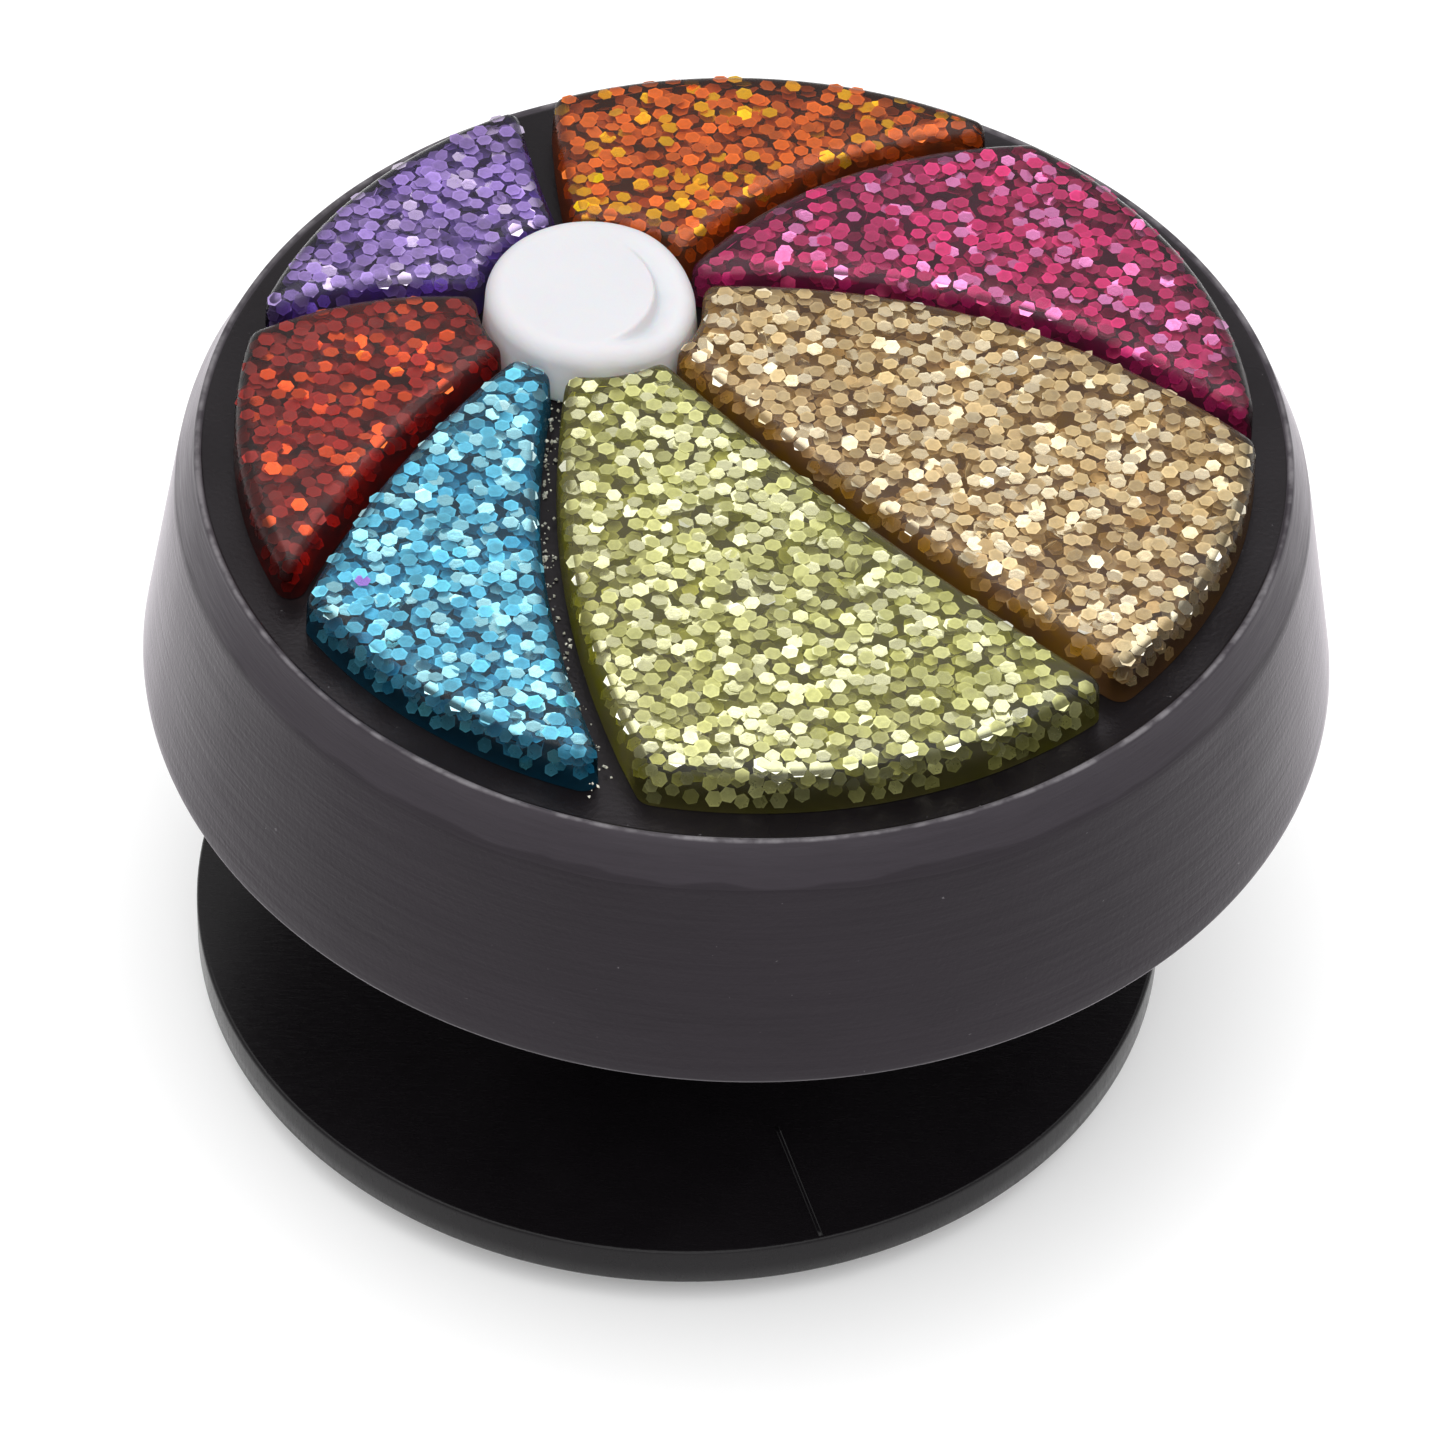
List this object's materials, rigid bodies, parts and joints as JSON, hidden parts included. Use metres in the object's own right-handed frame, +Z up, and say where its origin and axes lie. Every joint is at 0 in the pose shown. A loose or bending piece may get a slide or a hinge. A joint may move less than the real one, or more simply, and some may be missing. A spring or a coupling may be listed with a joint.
{
  "type": "push-in shoe charm",
  "caption": "Flared round charm with raised glitter panels in a beach-ball pattern around a white cap, on a stem and snap disc that grip a ventilation hole in a foam shoe.",
  "frame": {"origin": "on the head's axis, level with the underside of the snap disc", "axes": "+Z up along the head's axis, out of the patterned face; -Y to the side where the green and blue panels meet the rim"},
  "size_m": [0.0162, 0.0162, 0.0105],
  "materials": {
    "head_pvc": "matte black soft PVC with fine moulding streaks",
    "violet_resin": "clear violet resin full of flat violet glitter flakes",
    "orange_resin": "clear orange resin full of flat orange and gold-orange glitter flakes",
    "pink_resin": "clear pink resin full of flat magenta glitter flakes",
    "gold_resin": "clear amber resin full of flat pale gold glitter flakes",
    "green_resin": "clear olive resin full of flat yellow-green glitter flakes",
    "blue_resin": "clear teal resin full of flat sky-blue glitter flakes",
    "red_resin": "clear red resin full of flat red glitter flakes",
    "cap_pvc": "milk-white soft PVC, satin matte",
    "button_plastic": "black semi-gloss moulded plastic",
    "adhesive": "cured clear adhesive film"
  },
  "bodies": {
    "root": {"head_body": "head_pvc", "violet_panel": "violet_resin", "orange_panel": "orange_resin", "pink_panel": "pink_resin", "gold_panel": "gold_resin", "green_panel": "green_resin", "blue_panel": "blue_resin", "red_panel": "red_resin", "end_cap": "cap_pvc", "button_back": "button_plastic", "bond_film": "adhesive"}
  },
  "joints": []
}
